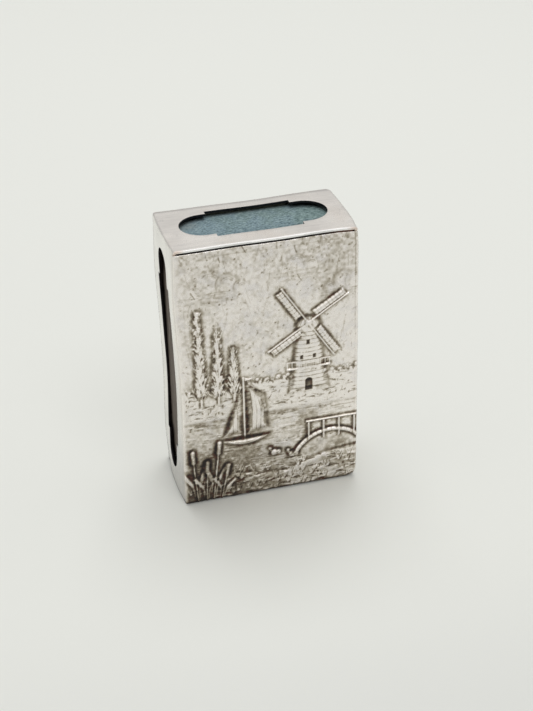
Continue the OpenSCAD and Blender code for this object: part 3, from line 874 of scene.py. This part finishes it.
def solder(place):
    """Dull solder, reddish at the right, painted black as shade in the top seam."""
    # Painted shade: the seam under the lip goes near black.
    top_seam_shade = (0 - place.axis("Y")).rise(8.2, 8.5)
    red = place.axis("X").rise(10, 16) * top_seam_shade
    bare = red.mix((0.52, 0.47, 0.42), (0.46, 0.25, 0.18))
    return {
        "Base Color": (top_seam_shade * (1 - 0.6 * red)).mix(bare, (0.012, 0.01, 0.009)),
        "Metallic": 0.8 - 0.7 * top_seam_shade,
        "Roughness": 0.45 + 0.3 * place.noise(4, 2),
        "Normal": place.noise(5, 2).bump(0.03),
    }


def knocked_copy(name, node, material, pitch):
    """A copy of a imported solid, cut across at a pitch so that it can be knocked as the case is."""
    shape = bmesh.new()
    shape.from_mesh(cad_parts[node].data)
    bmesh.ops.remove_doubles(shape, verts=shape.verts, dist=0.0001 * mm)
    low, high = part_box(node)
    for axis in (0, 2):
        across_it = Vector((axis == 0, 0, axis == 2))
        for i in range(1, math.ceil((high[axis] - low[axis]) / (pitch * mm))):
            place = across_it * (low[axis] + i * pitch * mm)
            everything = [*shape.verts, *shape.edges, *shape.faces]
            bmesh.ops.bisect_plane(shape, geom=everything, plane_co=place, plane_no=across_it)
    bmesh.ops.triangulate(shape, faces=shape.faces)
    points = knock([vertex.co / mm for vertex in shape.verts])
    shape.verts.index_update()
    faces = [[vertex.index for vertex in face.verts] for face in shape.faces]
    shape.free()
    return new_piece(name, points, faces, [material])


solder_metal = new_material("old solder", solder)
for node in ("front_solder", "back_solder"):
    seam = knocked_copy(node.replace("_", "_line_"), node, solder_metal, 1.5)
    seam.data.shade_flat()
    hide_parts(node)
    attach(seam, "holder")


# Sleeve
# The outer box of the matches: thin card folded into a square tube and glued, with cream paper
# wrapped round it. Its corners are a little crushed, and its cut ends show the grey card.

shell_lo, shell_hi = (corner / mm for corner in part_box("sleeve_card_shell"))
wrap_lo, wrap_hi = (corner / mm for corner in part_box("sleeve_paper"))
card_t = 0.6


def round_box(lo, hi, r, steps=5):
    """Outline of a box with round corners, between two corner points."""
    turns = [math.pi / 2 * i / steps for i in range(steps + 1)]
    corners = [(hi[0] - r, lo[1] + r, -1), (hi[0] - r, hi[1] - r, 0),
               (lo[0] + r, hi[1] - r, 1), (lo[0] + r, lo[1] + r, 2)]
    return [(x + r * math.cos(a + quarter * math.pi / 2), y + r * math.sin(a + quarter * math.pi / 2))
            for x, y, quarter in corners for a in turns]


def shrink(loop, by):
    """The outline of a round box moved in by the same distance all round."""
    points = np.array(loop)
    ahead, behind = np.roll(points, -1, 0), np.roll(points, 1, 0)
    along = ahead - behind
    inward = np.stack([-along[:, 1], along[:, 0]], 1)
    return (points + by * inward / np.linalg.norm(inward, axis=1)[:, None]).tolist()


def tube(name, outer, inner, ends, lay, materials, inner_floor=None):
    """A tube from two outlines. With an inner floor it is a box closed at its second end."""
    count = len(outer)
    inner_ends = (ends[0], inner_floor if inner_floor else ends[1])
    points = [lay(a, b, end) for end in ends for a, b in outer]
    points += [lay(a, b, end) for end in inner_ends for a, b in inner]
    faces = []
    for i in range(count):
        j = (i + 1) % count
        faces += [(i, j, count + j, count + i), (2 * count + j, 2 * count + i, 3 * count + i, 3 * count + j),
                  (j, i, 2 * count + i, 2 * count + j)]
        if not inner_floor:
            faces.append((count + i, count + j, 3 * count + j, 3 * count + i))
    if inner_floor:
        faces += [list(range(count, 2 * count)), list(range(4 * count - 1, 3 * count - 1, -1))]
    piece = new_piece(name, points, faces, materials)
    shape = bmesh.new()
    shape.from_mesh(piece.data)
    bmesh.ops.recalc_face_normals(shape, faces=shape.faces)
    shape.to_mesh(piece.data)
    shape.free()
    return piece


def paper_look(colour, shade, fibre):
    """Uncoated paper: a cloudy tone, fine fibres and a trace of foxing."""

    def build(place):
        cloud = place.noise(0.12, 3, 0.6).rise(0.3, 0.75)
        fibres = place.noise(2.2, 3, 0.7, (1, 1, 0.3))
        flecks = place.noise(1.1, 1, 0.5, (1, 1, 0.5), 4).rise(0.66, 0.72)
        fox = place.noise(0.35, 2, 0.5, (1, 1, 1), 9).rise(0.66, 0.8)
        base = (cloud * 0.6 + fibres * 0.4).mix(colour, shade)
        return {
            "Base Color": (fox * 0.5).mix((flecks * 0.6).mix(base, fibre), (0.52, 0.36, 0.18)),
            "Roughness": 0.82 + 0.1 * fibres,
            "Normal": fibres.bump(0.02, cloud.bump(0.05)),
        }

    return build


def grey_card(place):
    """Thin strawboard, its pressed layers showing at the cut ends."""
    layers = place.noise(4, 2, 0.6, (1, 1, 0.15))
    return {
        "Base Color": layers.mix((0.62, 0.53, 0.38), (0.45, 0.37, 0.26)),
        "Roughness": 0.88 + 0.08 * layers,
        "Normal": layers.bump(0.03),
    }


cream = (0.76, 0.68, 0.50)
wrap_paper = new_material("cream wrapping paper", paper_look(cream, (0.66, 0.57, 0.40), (0.5, 0.4, 0.26)))
card_look = new_material("strawboard", grey_card)


def upright(a, b, c):
    return (a, b, c)


wrap_r = 0.5
wrap_loop = round_box(wrap_lo, wrap_hi, wrap_r)
shell_loop = shrink(wrap_loop, wrap_hi.x - shell_hi.x)
wrap = tube("sleeve_wrap", wrap_loop, shell_loop, (wrap_lo.z, wrap_hi.z), upright, [wrap_paper])
shell = tube("sleeve_card", shell_loop, shrink(shell_loop, card_t), (shell_lo.z, shell_hi.z),
             upright, [card_look])
for piece, node, slot in ((wrap, "sleeve_paper", "label_paper"), (shell, "sleeve_card_shell", "card")):
    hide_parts(node)
    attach(piece, "sleeve")


# Labels
# A printed label on each broad side of the sleeve: uncoated paper with a plain ruled border and a
# diamond, in one dull red ink. They carry no words.

label_lo, label_hi = (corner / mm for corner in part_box("front_label"))
label_middle = (label_lo.z + label_hi.z) / 2
ink = (0.36, 0.06, 0.04)


def printed_label(place):
    """Label paper with its worn red print."""
    x, z = place.axis("X").abs(), (place.axis("Z") - label_middle).abs()
    room = (label_hi.x - x).least((label_hi.z - label_lo.z) / 2 - z)
    ruled = room.rise(1.1, 1.15) * room.rise(1.65, 1.6) + room.rise(2.0, 2.04) * room.rise(2.2, 2.16)
    spread = x * 1.5 + z
    diamond = spread.rise(16.1, 15.9) * spread.rise(14.6, 14.8) + spread.rise(13.9, 13.8) * spread.rise(13.3, 13.4)
    centre = spread.rise(6.1, 5.9)
    worn = place.noise(3, 3, 0.7).rise(0.3, 0.48)
    print_here = (ruled + diamond + centre).least(1) * worn * 0.9
    paper = paper_look((0.82, 0.75, 0.58), (0.72, 0.63, 0.46), (0.55, 0.45, 0.3))(place)
    paper["Base Color"] = print_here.mix(paper["Base Color"], ink)
    return paper


label_look = new_material("printed label", printed_label)
for node in ("front_label", "back_label"):
    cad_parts[node].material_slots[0].material = label_look


# Striking strips
# A brown coat of grit and glue on each narrow side, scored across where matches were struck.


def striking_coat(place):
    """Rough brown grit, polished and scored in streaks across the strip."""
    grit = place.noise(5, 3, 0.7)
    streaks = place.noise(1.0, 2, 0.6, (1, 2.2, 0.2))
    used = streaks.rise(0.45, 0.7)
    tone = (grit * 0.6 + streaks * 0.4).rise(0.3, 0.7)
    colour = tone.mix((0.075, 0.060, 0.047), (0.165, 0.137, 0.111))
    return {
        "Base Color": (used * 0.5).mix(colour, (0.21, 0.175, 0.15)),
        "Roughness": 0.75 + 0.15 * grit,
        "Normal": grit.bump(0.05, streaks.bump(0.04)),
    }


striker_look = new_material("striking coat", striking_coat)
for node in ("left_striker", "right_striker"):
    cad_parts[node].material_slots[0].material = striker_look


# Tray
# A strip of split wood scored and bent round into four walls, with a thin board for a base.

tray_lo, tray_hi = (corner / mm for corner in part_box("tray_frame"))
paper_lo, paper_hi = (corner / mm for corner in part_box("tray_paper"))
wood_t = 0.6


def split_wood(along):
    """Pale aspen, split or peeled, with its grain along one axis and a tone of its own."""

    def build(place):
        tone = place.node("ShaderNodeAttribute", None, 2, attribute_name="tone")
        stretch = tuple(0.12 if axis == along else 1 for axis in "XYZ")
        grain = place.noise(2.2, 4, 0.7, stretch)
        bands = place.noise(0.5, 2, 0.6, stretch, 6)
        base = (bands * 0.5 + tone * 0.5).mix((0.74, 0.58, 0.36), (0.60, 0.43, 0.24))
        return {
            "Base Color": grain.rise(0.45, 0.8).mix(base, (0.50, 0.34, 0.18)),
            "Roughness": 0.6 + 0.2 * grain,
            "Normal": grain.bump(0.04),
        }

    return build


def across(a, b, c):
    return (a, c, b)


frame_wood = new_material("bent aspen strip", split_wood("X"))
board_wood = new_material("aspen board", split_wood("Z"))
paper_loop = round_box((paper_lo.x, paper_lo.z), (paper_hi.x, paper_hi.z), 0.7)
frame_loop = shrink(paper_loop, paper_hi.x - tray_hi.x)
walls_of_tray = tube("tray_walls", frame_loop, shrink(frame_loop, wood_t),
                     (tray_lo.y, tray_hi.y), across, [frame_wood])
soften(walls_of_tray, 0.06)
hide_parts("tray_frame")
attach(walls_of_tray, "tray")
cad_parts["tray_base"].material_slots[0].material = board_wood


# Tray paper
# Blue-grey wrapping paper, made of rag and straw, glued round the walls and under the base.
# Long dark fibres lie in it, and it turns warmer and browner at its left end.


def blue_paper(place):
    """Fibrous blue-grey paper, greener in patches."""
    x = place.axis("X")
    cloud = place.noise(0.2, 3, 0.6).rise(0.3, 0.7)
    long_fibres = place.noise(3.4, 4, 0.75, (0.3, 1, 1))
    cross_fibres = place.noise(3.4, 3, 0.7, (0.8, 1, 1), 5)
    green = (x * 0.03 + cloud * 0.8).rise(0.1, 1)
    base = green.mix((0.185, 0.262, 0.295), (0.162, 0.236, 0.228))
    darker = (long_fibres * 0.6 + cross_fibres * 0.4).rise(0.5, 0.61)
    paler = (long_fibres * 0.6 + cross_fibres * 0.4).rise(0.5, 0.38)
    warm = (0 - x).rise(9.5, 12.5) * place.axis("Y").rise(0.5, 2.5) * (0.4 + paler)
    tinted = (paler * 0.9).mix(darker.mix(base, (0.045, 0.080, 0.092)), (0.36, 0.46, 0.46))
    return {
        "Base Color": (warm * 0.5).least(1).mix(tinted, (0.24, 0.22, 0.18)),
        "Roughness": 0.8 + 0.12 * cross_fibres,
        "Normal": long_fibres.bump(0.06, cross_fibres.bump(0.03)),
    }


blue_look = new_material("blue-grey wrapping paper", blue_paper)
tray_wrap = tube("tray_wrap", paper_loop, frame_loop, (paper_lo.y, paper_hi.y), across,
                 [blue_look], inner_floor=tray_hi.y)
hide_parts("tray_paper")
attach(tray_wrap, "tray")


# Matches
# Square sticks split from aspen, dipped in a red-brown head, lying heads down in five nested rows.
# No two are quite alike: each has its own turn, tone and small shift in place.

stick_lo, stick_hi = (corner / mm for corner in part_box("match_sticks"))
head_lo, head_hi = (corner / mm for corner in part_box("match_heads"))
stick_t = 1.9
head_d = 2.887
long_row = 10
row_count = 5
pitch = (head_hi.x - head_lo.x - head_d) / (long_row - 1)
row_pitch = pitch * math.sin(math.radians(60))


def stick_blank():
    """One split stick with its edges just broken."""
    half = stick_t / 2
    corners = [(x, y, z) for z in (stick_lo.z, stick_hi.z)
               for x, y in ((-half, -half), (half, -half), (half, half), (-half, half))]
    faces = [(3, 2, 1, 0), (4, 5, 6, 7)] + [(i, (i + 1) % 4, (i + 1) % 4 + 4, i + 4) for i in range(4)]
    return soften(new_piece("stick_blank", corners, faces, []), 0.1, 1)


def head_blank():
    """One dipped head: fuller towards its tip, thin where it grips the stick."""
    length = head_hi.z - head_lo.z
    around = 14
    points = [(0, 0, head_lo.z)]
    profile = [(0.03, 0.42), (0.1, 0.72), (0.22, 0.94), (0.38, 1), (0.58, 0.99), (0.76, 0.96),
               (0.9, 0.93), (1, 0.88)]
    for share, wide_here in profile:
        for i in range(around):
            a = 2 * math.pi * i / around
            lump = 1 + 0.025 * math.sin(3 * a + 9 * share) + 0.02 * math.sin(5 * a - 14 * share)
            r = head_d / 2 * wide_here * lump / 1.045
            points.append((r * math.cos(a), r * math.sin(a), head_lo.z + length * share))
    points.append((0, 0, head_hi.z))
    last = len(points) - 1
    faces = []
    for i in range(around):
        j = (i + 1) % around
        faces += [(0, 1 + j, 1 + i), (last, last - around + i, last - around + j)]
        for ring in range(len(profile) - 1):
            start = 1 + ring * around
            faces.append((start + i, start + j, start + around + j, start + around + i))
    return new_piece("head_blank", points, faces, [])


def nested_rows(name, blank, material):
    """Geometry Nodes that lay copies of a blank in nested rows, and the plain mesh they make."""
    tree = bpy.data.node_groups.new(name, "GeometryNodeTree")
    tree.interface.new_socket("Geometry", in_out="OUTPUT", socket_type="NodeSocketGeometry")
    values = {
        "Long row": ("NodeSocketInt", long_row),
        "Long rows": ("NodeSocketInt", (row_count + 1) // 2),
        "Pitch": ("NodeSocketFloat", pitch * mm),
        "Row pitch": ("NodeSocketFloat", row_pitch * mm),
        "Middle": ("NodeSocketVector", (0, (head_lo.y + head_hi.y) / 2 * mm, 0)),
        "Seed": ("NodeSocketInt", 12),
        "Blank": ("NodeSocketObject", blank),
        "Finish": ("NodeSocketMaterial", material),
    }
    sockets = {}
    for label, (kind, value) in values.items():
        sockets[label] = tree.interface.new_socket(label, in_out="INPUT", socket_type=kind)
    start = tree.nodes.new("NodeGroupInput")
    given = {label: Shade(tree, start.outputs[label]) for label in values}
    add = given["Pitch"].node

    def rows_of(count, deep):
        size_x = (count - 1) * given["Pitch"]
        size_y = (deep - 1) * 2 * given["Row pitch"]
        spread = {"Size X": size_x, "Size Y": size_y, "Vertices X": count, "Vertices Y": deep}
        return add("GeometryNodeMeshGrid", spread)

    both = tree.nodes.new("GeometryNodeJoinGeometry")
    for rows_made in (rows_of(given["Long row"], given["Long rows"]),
                      rows_of(given["Long row"] - 1, given["Long rows"] - 1)):
        tree.links.new(rows_made.socket, both.inputs[0])
    jog = {0: (-0.03 * mm, -0.03 * mm, -0.1 * mm), 1: (0.03 * mm, 0.03 * mm, 0.25 * mm),
           "Seed": given["Seed"]}
    shift = add("FunctionNodeRandomValue", jog, 0, data_type="FLOAT_VECTOR")
    middle = add("ShaderNodeVectorMath", {0: shift, 1: given["Middle"]}, operation="ADD")
    places = add("GeometryNodeSetPosition", {"Geometry": Shade(tree, both.outputs[0]), "Offset": middle})
    turn = add("FunctionNodeRandomValue", {2: -0.09, 3: 0.09, "Seed": given["Seed"] + 1}, 1)
    spin = add("ShaderNodeCombineXYZ", {"Z": turn})
    shape = add("GeometryNodeObjectInfo", {"Object": given["Blank"]}, 4)
    copies = add("GeometryNodeInstanceOnPoints", {"Points": places, "Instance": shape, "Rotation": spin})
    tone = add("FunctionNodeRandomValue", {2: 0.0, 3: 1.0, "Seed": given["Seed"] + 2}, 1)
    toned = add("GeometryNodeStoreNamedAttribute", {"Geometry": copies, "Name": "tone", "Value": tone},
                data_type="FLOAT", domain="INSTANCE")
    real = add("GeometryNodeRealizeInstances", {"Geometry": toned})
    done = add("GeometryNodeSetMaterial", {"Geometry": real, "Material": given["Finish"]})
    add("NodeGroupOutput", {"Geometry": done})
    piece = new_piece(name, [], [], [])
    layout = piece.modifiers.new("layout", "NODES")
    layout.node_group = tree
    for label, (_, value) in values.items():
        layout[sockets[label].identifier] = value
    settle(piece)
    bpy.data.objects.remove(blank)
    return piece


def dipped_head(place):
    """Dull dipped compound: a red-brown coat with grit in it, paler where rubbed."""
    tone = place.node("ShaderNodeAttribute", None, 2, attribute_name="tone")
    grit = place.noise(4, 3, 0.7)
    base = tone.mix((0.30, 0.052, 0.030), (0.22, 0.038, 0.026))
    return {
        "Base Color": grit.rise(0.5, 0.8).mix(base, (0.42, 0.13, 0.08)),
        "Roughness": 0.55 + 0.25 * grit,
        "Normal": grit.bump(0.06),
    }


stick_wood = new_material("split aspen stick", split_wood("Z"))
head_coat = new_material("dipped match head", dipped_head)
sticks = nested_rows("sticks", stick_blank(), stick_wood)
heads = nested_rows("heads", head_blank(), head_coat)
for piece, node, slot in ((sticks, "match_sticks", "aspen"), (heads, "match_heads", "match_head")):
    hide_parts(node)
    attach(piece, "tray")


# Floor
# A plain sheet of pale board, large enough that its edge is never seen. It keeps its distance from
# the tray, so at a pose the case is lifted off the matchbox and nothing slides down through it.


def pale_board(place):
    """Smooth white board with a trace of tooth and of unevenness, darkened towards the front as painted shade."""
    cloud = place.noise(0.006, 2, 0.5)
    tooth = place.noise(0.9, 2, 0.6)
    # Painted shade: the board darkens towards the front, as if less light reached it there.
    near = (0 - place.axis("Y")).rise(30, 95)
    board = (cloud * 0.7 + tooth * 0.3).mix((0.80, 0.81, 0.765), (0.815, 0.822, 0.775))
    return {
        "Base Color": near.mix(board, (0.74, 0.748, 0.712)),
        "Roughness": 0.7 + 0.1 * tooth,
        "Specular IOR Level": 0.2,
        "Normal": tooth.bump(0.01),
    }


floor = new_piece("floor", [(-3000, -3000, 0), (3000, -3000, 0), (3000, 3000, 0), (-3000, 3000, 0)],
                  [(0, 1, 2, 3)], [new_material("pale board", pale_board)])
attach(floor, "tray")


# Light and camera
# A white studio: soft light from all round that polished metal sees as darker towards the
# horizon, a large soft lamp behind and above the case, and a smaller one in front of it.

world = bpy.data.worlds.new("white studio")
world.use_nodes = True
world.node_tree.nodes.clear()
studio = Shade(world.node_tree, None)
direction = studio.node("ShaderNodeTexCoord")
height = studio.node("ShaderNodeSeparateXYZ", {0: direction}, "Z")
ray = {kind: studio.node("ShaderNodeLightPath", None, kind)
       for kind in ("Is Camera Ray", "Is Glossy Ray")}
seen_behind = studio.node("ShaderNodeValToRGB", {"Fac": height}, stops=[
    (0, (0.52, 0.52, 0.51)), (0.2, (0.60, 0.59, 0.58)), (0.5, (0.82, 0.80, 0.78)),
    (1, (0.9, 0.9, 0.9))])
in_front = studio.node("ShaderNodeSeparateXYZ", {0: direction}, "Y").rise(0.0, -0.6)
seen_in_metal = in_front.mix(seen_behind, (1.0, 0.995, 0.98))
seen = ray["Is Glossy Ray"].mix((0.51, 0.51, 0.51), seen_in_metal)
backdrop = height.rise(-0.02, 0.14).mix((0.445, 0.451, 0.423), (0.80, 0.81, 0.77))
seen = ray["Is Camera Ray"].mix(seen, backdrop)
glow = studio.node("ShaderNodeBackground", {"Color": seen, "Strength": 1.0})
studio.node("ShaderNodeOutputWorld", {"Surface": glow})
scene.world = world


def soft_lamp(name, place, size, power, mirrored):
    """A square soft lamp aimed at the middle of the case, its place in metres."""
    lamp = bpy.data.lights.new(name, "AREA")
    lamp.shape = "SQUARE"
    lamp.size = size
    lamp.energy = power
    holder_of_lamp = bpy.data.objects.new(name, lamp)
    aim = (Vector(place) - Vector((0, 0, 0.03))).to_track_quat("Z", "Y")
    holder_of_lamp.matrix_world = Matrix.Translation(place) @ aim.to_matrix().to_4x4()
    holder_of_lamp.visible_glossy = mirrored
    scene.collection.objects.link(holder_of_lamp)


soft_lamp("back lamp", (0.06, 0.3, 0.88), 0.55, 3.7, False)
soft_lamp("front lamp", (0.12, -0.5, 0.8), 0.35, 1.1, True)

view_turn = math.radians(-15.137)
view_rise = math.radians(30.74)
view_roll = math.radians(-1.248)
view_distance = 0.32217
look_at = Vector((0.00183, -0.00009, 0.0269))
backwards = Vector((math.sin(view_turn) * math.cos(view_rise),
                    -math.cos(view_turn) * math.cos(view_rise), math.sin(view_rise)))
camera = bpy.data.objects.new("camera", bpy.data.cameras.new("camera"))
camera.data.lens = 80.05
camera.data.sensor_width = 36
turned = backwards.to_track_quat("Z", "Y").to_matrix() @ Matrix.Rotation(view_roll, 3, "Z")
camera.matrix_world = Matrix.Translation(look_at + backwards * view_distance) @ turned.to_4x4()
scene.collection.objects.link(camera)
scene.camera = camera
scene.view_settings.view_transform = "Standard"
